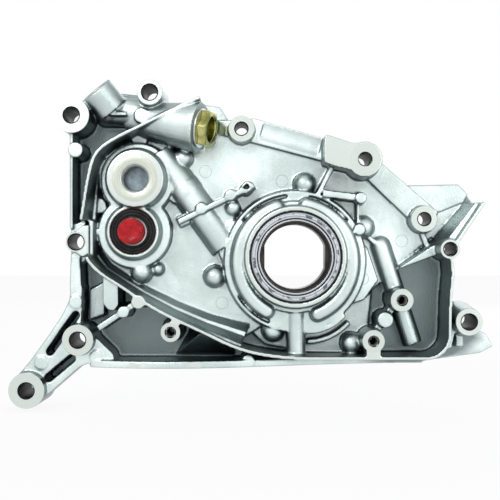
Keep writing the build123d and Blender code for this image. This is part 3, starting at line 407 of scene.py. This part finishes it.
for name, (x, z, level, face, hole) in BOSS_FACES.items():
    top = level + FACE_SKIM
    form = spun_form(
        [(hole + LINER_WALL, level - FACE_DEPTH), (hole + HOLE_CHAMFER + HOLE_LAND, top - 0.0001),
         (hole + HOLE_CHAMFER + HOLE_LAND, top), (face - FACE_EDGE, top), (face, top - FACE_EDGE),
         (face, level - 0.0010), (face - 0.0004, level - FACE_DEPTH)],
        (x, 0, z), bevel=0)
    if name == "face_top_left":
        for spot, normal in TOP_LEFT_CUTS:
            cut_flat(form, spot, normal)
        bmesh.ops.recalc_face_normals(form, faces=form.faces)
    settle(to_object(name, form), "case", "cast_aluminium", milled_aluminium)
    depth = TAPPED_DEPTH if hole == TAPPED_RADIUS else level - THROUGH_END
    # Each hole gets a liner in that near-black material: painted shade for the dark inside of the hole.
    liner = spun(
        name.replace("face", "bore"),
        [(hole - LINER_STEP, level - depth), (hole - LINER_STEP, top - HOLE_CHAMFER),
         (hole + HOLE_CHAMFER, top + 0.00002), (hole + HOLE_CHAMFER + 0.0004, top - 0.0002),
         (hole + LINER_WALL, level - FACE_DEPTH), (hole + LINER_WALL, level - depth)],
        (x, 0, z), bevel=0)
    settle(liner, "case", "cast_aluminium", bore_painted_shade)


# Access hole of the driven gear: a tapped hole in a turned boss. Its plug isn't fitted, so the
# first threads show. The boss face is turned in fine steps, a shade warmer than the casting.
ACCESS_PLACE = (-0.11314, 0, 0.05535)
ACCESS_FACE = 0.0201
ACCESS_LEVEL = 0.034
THREAD_CREST = 0.00872
THREAD_ROOT = 0.00918
THREAD_PITCH = 0.0015
THREAD_TURNS = 7
THREAD_BACK = 0.0003
THREAD_START = 0.0011
TIMING_THREADS = ("face_timing_left", "face_timing_right", "face_timing_low")
TIMING_PITCH = 0.001
TIMING_TURNS = 9
TIMING_START = 0.0007
TIMING_CREST_INSET = 0.00042
TIMING_ROOT_INSET = 0.00012


def thread_outline(crest, root, top, pitch, turns):
    """Outline of a thread's rings from a hole's mouth inwards."""
    points = []
    for turn in range(turns):
        points += [(root, top - turn * pitch), (crest, top - (turn + 0.42) * pitch),
                   (crest, top - (turn + 0.58) * pitch)]
    back = root + THREAD_BACK
    return points + [(root, top - turns * pitch), (back, top - turns * pitch), (back, top)]


access_top = ACCESS_LEVEL + FACE_SKIM
access_face = spun(
    "face_access",
    [(0.0100, ACCESS_LEVEL - FACE_DEPTH), (0.0103, access_top - 0.0001), (0.0106, access_top),
     (0.0163, access_top), (0.0165, access_top - 0.0002), (ACCESS_FACE - 0.0008, access_top - 0.0002),
     (ACCESS_FACE, access_top - 0.0008), (ACCESS_FACE, ACCESS_LEVEL - 0.0010),
     (ACCESS_FACE - 0.0004, ACCESS_LEVEL - FACE_DEPTH)],
    ACCESS_PLACE, steps=128)
cream_aluminium = turned_metal("access_face_cream", (0.74, 0.785, 0.69, 1), (0.56, 0.60, 0.53, 1),
                               pitch=0.0006, relief=0.6)
settle(access_face, "case", "cast_aluminium", cream_aluminium)
thread_metal = turned_metal("thread_aluminium", (0.60, 0.61, 0.58, 1), (0.34, 0.36, 0.35, 1),
                            roughness=0.3)
access_thread = spun(
    "thread_access",
    thread_outline(THREAD_CREST, THREAD_ROOT, ACCESS_LEVEL - THREAD_START, THREAD_PITCH, THREAD_TURNS),
    ACCESS_PLACE, bevel=0)
settle(access_thread, "case", "cast_aluminium", thread_metal)
for name in TIMING_THREADS:
    x, z, level, face, hole = BOSS_FACES[name]
    rings = spun(
        name.replace("face", "thread"),
        thread_outline(hole - TIMING_CREST_INSET, hole - TIMING_ROOT_INSET, level - TIMING_START,
                       TIMING_PITCH, TIMING_TURNS),
        (x, 0, z), steps=48, bevel=0)
    settle(rings, "case", "cast_aluminium", thread_metal)


# Ejector marks: where a pin of the die pushed the casting out, it leaves a thin ring on the face.
# Four lie on the case's field and two on the bench beside the pump, each row by its level.
EJECTOR_MARKS = {
    0.013: ((-0.0646, 0.0621), (-0.0089, 0.0552), (-0.0526, -0.0337), (0.0784, 0.0115)),
    0.021: ((-0.0512, -0.0005), (0.0487, -0.0156)),
}
MARK_RADIUS = 0.0043
MARK_WIDTH = 0.0002
MARK_ROOT = 0.0004
MARK_RISE = 0.00012

mark_metal = turned_metal("ejector_ring", (0.30, 0.35, 0.34, 1), (0.22, 0.26, 0.25, 1), roughness=0.4)
for level, places in EJECTOR_MARKS.items():
    for count, (x, z) in enumerate(places):
        inner, outer = MARK_RADIUS, MARK_RADIUS + MARK_WIDTH
        mark = spun(
            f"ejector_mark_{round(level * 1000)}_{count}",
            [(inner, level - MARK_ROOT), (inner, level + MARK_RISE), (outer, level + MARK_RISE),
             (outer, level - MARK_ROOT)],
            (x, 0, z), steps=48, bevel=0)
        settle(mark, "case", "cast_aluminium", mark_metal)


# Crankshaft oil seal: a pressed steel ring with a rubber coat outside, which holds it in its seat,
# and a rubber lip held to the crankshaft by a garter spring. It is pushed in flush with the case.
CRANK_AXIS = (0, 0, 0)
SEAL_FACE_MIDDLE = 0.0293
SEAL_GROOVE_MIDDLE = 0.02695
SCUFF_AND_SHADE_TONE = (0.030, 0.033, 0.040, 1)

crank_shell = spun(
    "crank_seal_ring",
    [(0.0314, 0.0284), (0.0314, 0.0350), (0.0310, 0.0356), (0.0277, 0.0356), (0.0272, 0.0351),
     (0.0270, 0.0330), (0.0264, 0.0330), (0.0264, 0.0340), (0.0254, 0.0340), (0.0254, 0.0332),
     (0.0262, 0.0326), (0.0276, 0.0326), (0.0276, 0.0348), (0.0306, 0.0348), (0.0306, 0.0284)],
    CRANK_AXIS, steps=160)
made, tree, principled, place = new_material("pressed_steel", Metallic=1.0)
rings = place_group(tree, turned, Pitch=0.0006)
skin = place_group(tree, blast, Place=place, Grain=520.0, Cloud=260.0)
away = node(tree, "Attribute", attribute_name="away").outputs["Fac"]
from_face = number(tree, "ABSOLUTE", number(tree, "SUBTRACT", away, SEAL_FACE_MIDDLE))
from_groove = number(tree, "ABSOLUTE", number(tree, "SUBTRACT", away, SEAL_GROOVE_MIDDLE))
scuffs = number(tree, "MULTIPLY", ramp(tree, from_face, 1, 0, 0.0008, 0.0014),
                ramp(tree, skin["Tone"], 0, 1, 0.58, 0.85))
# The scuffs on the face are real marks; the dark ring at the groove is painted shade, and both take the
# same near-black tone.
dark = number(tree, "MAXIMUM", number(tree, "MULTIPLY", scuffs, 0.8),
              ramp(tree, from_groove, 1, 0, 0.0003, 0.0005))
plate = mixed(tree, rings["Tone"], (0.36, 0.40, 0.43, 1), (0.80, 0.84, 0.88, 1))
tree.links.new(mixed(tree, dark, plate, SCUFF_AND_SHADE_TONE), principled.inputs["Base Color"])
tree.links.new(ramp(tree, skin["Tone"], 0.20, 0.40), principled.inputs["Roughness"])
bump(tree, principled, rings["Height"], 0.4, 0.00008)
settle(crank_shell, "case", "seal_steel", made, "crank_seal_shell")
crank_coat = spun(
    "crank_seal_coat",
    [(0.0324, 0.0284), (0.0324, 0.0349), (0.0321, 0.0355), (0.0316, 0.0355), (0.0312, 0.0351),
     (0.0314, 0.0349), (0.0314, 0.0284)],
    CRANK_AXIS, steps=160)


def rubber(name, colour, worn, roughness=0.38):
    """Moulded rubber with a soft sheen and dusty, slightly worn places."""
    made, tree, principled, place = new_material(name, Metallic=0.0, Specular_IOR_Level=0.25)
    skin = place_group(tree, blast, Place=place, Grain=2600.0, Cloud=120.0)
    tree.links.new(mixed(tree, skin["Tone"], colour, worn), principled.inputs["Base Color"])
    tree.links.new(ramp(tree, skin["Tone"], roughness, roughness + 0.16), principled.inputs["Roughness"])
    bump(tree, principled, skin["Height"], 0.25, 0.00005)
    return made


black_rubber = rubber("black_rubber", (0.010, 0.011, 0.012, 1), (0.026, 0.028, 0.029, 1))
brown_rubber = rubber("brown_rubber", (0.030, 0.018, 0.014, 1), (0.055, 0.034, 0.026, 1), roughness=0.3)
settle(crank_coat, "case", "seal_rubber", black_rubber)
crank_lip = spun(
    "crank_seal_rubber",
    [(0.0262, 0.0325), (0.0253, 0.0331), (0.0250, 0.0340), (0.0247, 0.0340), (0.0246, 0.0334),
     (0.0250, 0.0326), (0.0248, 0.0318), (0.0252, 0.0311), (0.0262, 0.0311), (0.0267, 0.0318)],
    CRANK_AXIS, steps=160)
settle(crank_lip, "case", "seal_rubber", brown_rubber, "crank_seal_lip")


# Rotor pump: the inner rotor is driven by the crankshaft's flats, the outer one turns round it in its
# pocket. Both are sintered steel, dark with oil and darker still with painted shade for the deep pocket,
# and a ground steel plate, held by blackened screws, shuts the pocket behind. The gears' pocket is shut
# the same way.
def worked_steel(name, light, dark, roughness=0.32, grain=1400.0, cloud=60.0):
    """Steel with a fine grain and cloudy stains."""
    made, tree, principled, place = new_material(name, Metallic=1.0)
    skin = place_group(tree, blast, Place=place, Grain=grain, Cloud=cloud)
    tree.links.new(mixed(tree, skin["Tone"], dark, light), principled.inputs["Base Color"])
    tree.links.new(ramp(tree, skin["Tone"], roughness + 0.12, roughness), principled.inputs["Roughness"])
    bump(tree, principled, skin["Height"], 0.25, 0.00008)
    return made


def refinish(material, *names):
    """Puts a material on CAD nodes that keep their own shape."""
    for name in names:
        for slot in NODES[name].material_slots:
            slot.material = material


# Very dark base: oil on the sinter, plus painted shade for the rotors deep in their pocket.
refinish(worked_steel("oiled_sinter_and_shade", (0.10, 0.10, 0.095, 1), (0.045, 0.043, 0.040, 1), 0.34),
         "inner_rotor", "outer_rotor")
refinish(worked_steel("ground_cover_steel", (0.44, 0.45, 0.45, 1), (0.32, 0.33, 0.33, 1), 0.30,
                      700.0, 25.0),
         "pump_cover", "gear_cover")
refinish(worked_steel("blackened_screws", (0.12, 0.12, 0.12, 1), (0.06, 0.06, 0.06, 1), 0.36),
         "pump_cover_screws", "gear_cover_screws")


# Balance gears: case-hardened steel, ground on the hubs, with a bluish temper. The drive gear is
# keyed to a hardened shaft, which runs in bronze bushes.
refinish(worked_steel("hardened_gear", (0.30, 0.36, 0.40, 1), (0.16, 0.20, 0.23, 1), 0.26, 900.0, 90.0),
         "drive_gear", "driven_gear")
refinish(worked_steel("ground_shaft", (0.62, 0.63, 0.63, 1), (0.46, 0.47, 0.48, 1), 0.2, 2000.0, 50.0),
         "drive_shaft", "drive_gear_key", "relief_plunger")
refinish(worked_steel("bush_bronze", (0.62, 0.42, 0.20, 1), (0.44, 0.29, 0.14, 1), 0.3),
         "front_bush", "rear_bush")
spring_wire = worked_steel("spring_wire", (0.34, 0.34, 0.34, 1), (0.20, 0.20, 0.20, 1), 0.28)
refinish(spring_wire, "crank_seal_spring", "shaft_seal_spring")


# Shaft seal: a small oil seal that closes the case round the shaft. Its steel ring is hidden
# under glossy black rubber, moulded in steps, and it is pressed into its seat.
SHAFT_PLACE = (-0.1151, 0, 0.0179)

shaft_shell = spun(
    "shaft_seal_ring",
    [(0.0158, 0.0244), (0.0158, 0.0292), (0.0106, 0.0292), (0.0106, 0.0284), (0.0150, 0.0284),
     (0.0150, 0.0244)],
    SHAFT_PLACE)
settle(shaft_shell, "case", "seal_steel",
       turned_metal("seal_steel_plate", (0.50, 0.52, 0.52, 1), (0.32, 0.34, 0.34, 1)), "shaft_seal_shell")
shaft_rubber = spun(
    "shaft_seal_rubber",
    [(0.0159, 0.0246), (0.0159, 0.0298), (0.0154, 0.0303), (0.0141, 0.0303), (0.0137, 0.0299),
     (0.0133, 0.0299), (0.0129, 0.0303), (0.0119, 0.0303), (0.0114, 0.0297), (0.0108, 0.0297),
     (0.0103, 0.0302), (0.0101, 0.0300), (0.0102, 0.0290), (0.0105, 0.0280), (0.0112, 0.0280),
     (0.0112, 0.0292), (0.0158, 0.0293)],
    SHAFT_PLACE, steps=128)
settle(shaft_rubber, "case", "seal_rubber",
       rubber("glossy_rubber", (0.008, 0.008, 0.009, 1), (0.018, 0.018, 0.019, 1), roughness=0.2),
       "shaft_seal_lip")


# Transport cap: thin red plastic, moulded with a dished crown. It is pushed on the shaft's nose
# until the belt sprocket is fitted, and pulls off by hand.
cap_shell = spun(
    "red_cap",
    [(0.0, 0.0431), (0.0036, 0.0432), (0.0056, 0.0436), (0.0068, 0.0440), (0.0078, 0.0439),
     (0.0087, 0.0432), (0.0091, 0.0422), (0.0091, 0.0338), (0.0092, 0.0334), (0.0092, 0.0324),
     (0.0082, 0.0324), (0.0080, 0.0412), (0.0, 0.0414)],
    SHAFT_PLACE, steps=96, bevel=0)
made, tree, principled, place = new_material(
    "red_plastic", Metallic=0.0, Specular_IOR_Level=0.25, Coat_Weight=0.12, Coat_Roughness=0.1)
skin = place_group(tree, blast, Place=place, Grain=1500.0, Cloud=160.0)
tree.links.new(mixed(tree, skin["Tone"], (0.30, 0.003, 0.006, 1), (0.56, 0.006, 0.012, 1)),
               principled.inputs["Base Color"])
tree.links.new(ramp(tree, skin["Tone"], 0.26, 0.36), principled.inputs["Roughness"])
fine = number(tree, "MULTIPLY", skin["Height"], 0.06)
bump(tree, principled, number(tree, "ADD", skin["Tone"], fine), 0.3, 0.0006)
settle(cap_shell, "cap", "red_plastic", made, "transport_cap")


# Relief valve: a hollow hexagon plug of yellow-passivated steel closes the valve's bore over a
# soft aluminium washer. Both are turned, the plug from hexagon bar.
RELIEF_PLACE = (-0.0678, -0.027, 0.0917)
RELIEF_WAY = (0.9467, -0.2756, -0.1669)
PLUG_FLATS = 0.024

washer = spun(
    "plug_washer", [(0.0100, 0.0), (0.0100, 0.0015), (0.0140, 0.0015), (0.0140, 0.0)],
    RELIEF_PLACE, way=RELIEF_WAY, bevel=0.0003)
settle(washer, "case", "washer_aluminium",
       turned_metal("soft_washer", (0.80, 0.81, 0.80, 1), (0.62, 0.63, 0.62, 1)), "relief_washer")
plug = spun(
    "hexagon_plug",
    [(0.0098, -0.010), (0.0098, 0.0015), (0.0139, 0.0015), (0.0139, 0.0080), (0.0119, 0.0090),
     (0.0094, 0.0090), (0.0086, 0.0082), (0.0086, 0.0005), (0.0050, 0.0), (0.0, 0.0), (0.0, -0.010)],
    RELIEF_PLACE, way=RELIEF_WAY, flats=PLUG_FLATS, bevel=0.0003)
made, tree, principled, place = new_material("yellow_zinc", Metallic=1.0)
skin = place_group(tree, blast, Place=place, Grain=1300.0, Cloud=110.0)
bands = place_group(tree, turned, Pitch=0.0004)
zinc = mixed(tree, skin["Tone"], (0.23, 0.225, 0.060, 1), (0.54, 0.53, 0.215, 1))
zinc = mixed(tree, number(tree, "MULTIPLY", skin["Fleck"], 0.15), zinc, (0.36, 0.42, 0.26, 1))
tree.links.new(zinc, principled.inputs["Base Color"])
tree.links.new(ramp(tree, bands["Tone"], 0.15, 0.26), principled.inputs["Roughness"])
fine = number(tree, "MULTIPLY", skin["Height"], 0.4)
bump(tree, principled, number(tree, "ADD", fine, bands["Height"]), 0.15, 0.00005)
settle(plug, "case", "yellow_zinc", made, "relief_plug")


valve_spring = merged_copy("valve_spring", "relief_spring")
valve_spring.data.shade_smooth()
valve_spring.data.set_sharp_from_angle(angle=SMOOTH_ANGLE)
settle(valve_spring, "case", "spring_steel", spring_wire, "relief_spring")
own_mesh(valve_spring)


# Gallery plug: a pressed steel cup, driven into the end of the drilled oil gallery at the upper
# left of the case to close it.
refinish(worked_steel("pressed_plug_steel", (0.50, 0.51, 0.50, 1), (0.34, 0.35, 0.35, 1), 0.28),
         "gallery_plug")


# Studio: a plain pale floor just under the part and a white background. Soft lamps stand in front
# and behind, and the camera looks square at the case.
CAMERA_PLACE = (-0.0322, -0.600, 0.0049)
CAMERA_LENS = 58.0
CAMERA_SENSOR = 36.0
FLOOR_DROP = 0.002
FLOOR_SIZE = 3.0
FLOOR_GLOW = 0.9
WORLD_TONES = ((0.40, 0.43, 0.44, 1), (0.90, 0.93, 0.93, 1))
WORLD_LIGHT = 0.8

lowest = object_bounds()[0].z
form = bmesh.new()
bmesh.ops.create_grid(form, x_segments=1, y_segments=1, size=FLOOR_SIZE,
                      matrix=Matrix.Translation((0, 0, lowest - FLOOR_DROP)))
floor = to_object("floor", form)


def seen_white(tree):
    """Share of white for the rays that show the background: camera, glossy and transmission rays."""
    rays = node(tree, "LightPath").outputs
    return number(tree, "MAXIMUM", rays["Is Camera Ray"],
                  number(tree, "MAXIMUM", rays["Is Glossy Ray"], rays["Is Transmission Ray"]))


made = bpy.data.materials.new("floor_white")
made.use_nodes = True
tree = made.node_tree
tree.nodes.clear()
matt = node(tree, "BsdfDiffuse", {"Color": (0.85, 0.85, 0.85, 1)})
glow = node(tree, "Emission", {"Color": (1, 1, 1, 1), "Strength": 1.0})
share = number(tree, "MULTIPLY", seen_white(tree), FLOOR_GLOW)
floor_look = node(tree, "MixShader", {0: share, 1: matt.outputs[0], 2: glow.outputs[0]})
tree.links.new(floor_look.outputs[0], node(tree, "OutputMaterial").inputs["Surface"])
floor.data.materials.append(made)

world = bpy.data.worlds.new("studio")
bpy.context.scene.world = world
world.use_nodes = True
tree = world.node_tree
tree.nodes.clear()
toward = node(tree, "SeparateXYZ", {0: node(tree, "TexCoord").outputs["Generated"]}).outputs
lit = node(tree, "Background", {
    "Color": mixed(tree, ramp(tree, toward[2], 0, 1, -0.4, 0.7), *WORLD_TONES), "Strength": WORLD_LIGHT,
})
white = node(tree, "Background", {"Color": (1, 1, 1, 1), "Strength": 1.0})
shown = node(tree, "MixShader", {0: seen_white(tree), 1: lit.outputs[0], 2: white.outputs[0]})
tree.links.new(shown.outputs[0], node(tree, "OutputWorld").inputs["Surface"])


def lamp(name, place, size, power, aim=(-0.03, -0.02, 0.0)):
    """Square area lamp that points at the part."""
    light = bpy.data.lights.new(name, "AREA")
    light.shape = "SQUARE"
    light.size = size
    light.energy = power
    holder = bpy.data.objects.new(name, light)
    holder.location = place
    holder.rotation_euler = (Vector(aim) - Vector(place)).to_track_quat("-Z", "Y").to_euler()
    bpy.context.scene.collection.objects.link(holder)


lamp("key", (-0.45, -0.85, 0.60), 0.5, 3.5)
lamp("fill", (0.7, -0.8, 0.2), 0.7, 1.5)
lamp("back", (0.2, 0.9, 0.5), 0.8, 3.0)

camera = bpy.data.objects.new("camera", bpy.data.cameras.new("camera"))
camera.location = CAMERA_PLACE
camera.rotation_euler = (math.radians(90), 0, 0)
camera.data.sensor_width = CAMERA_SENSOR
camera.data.lens = CAMERA_LENS
bpy.context.scene.collection.objects.link(camera)
bpy.context.scene.camera = camera
bpy.context.scene.view_settings.view_transform = "Standard"
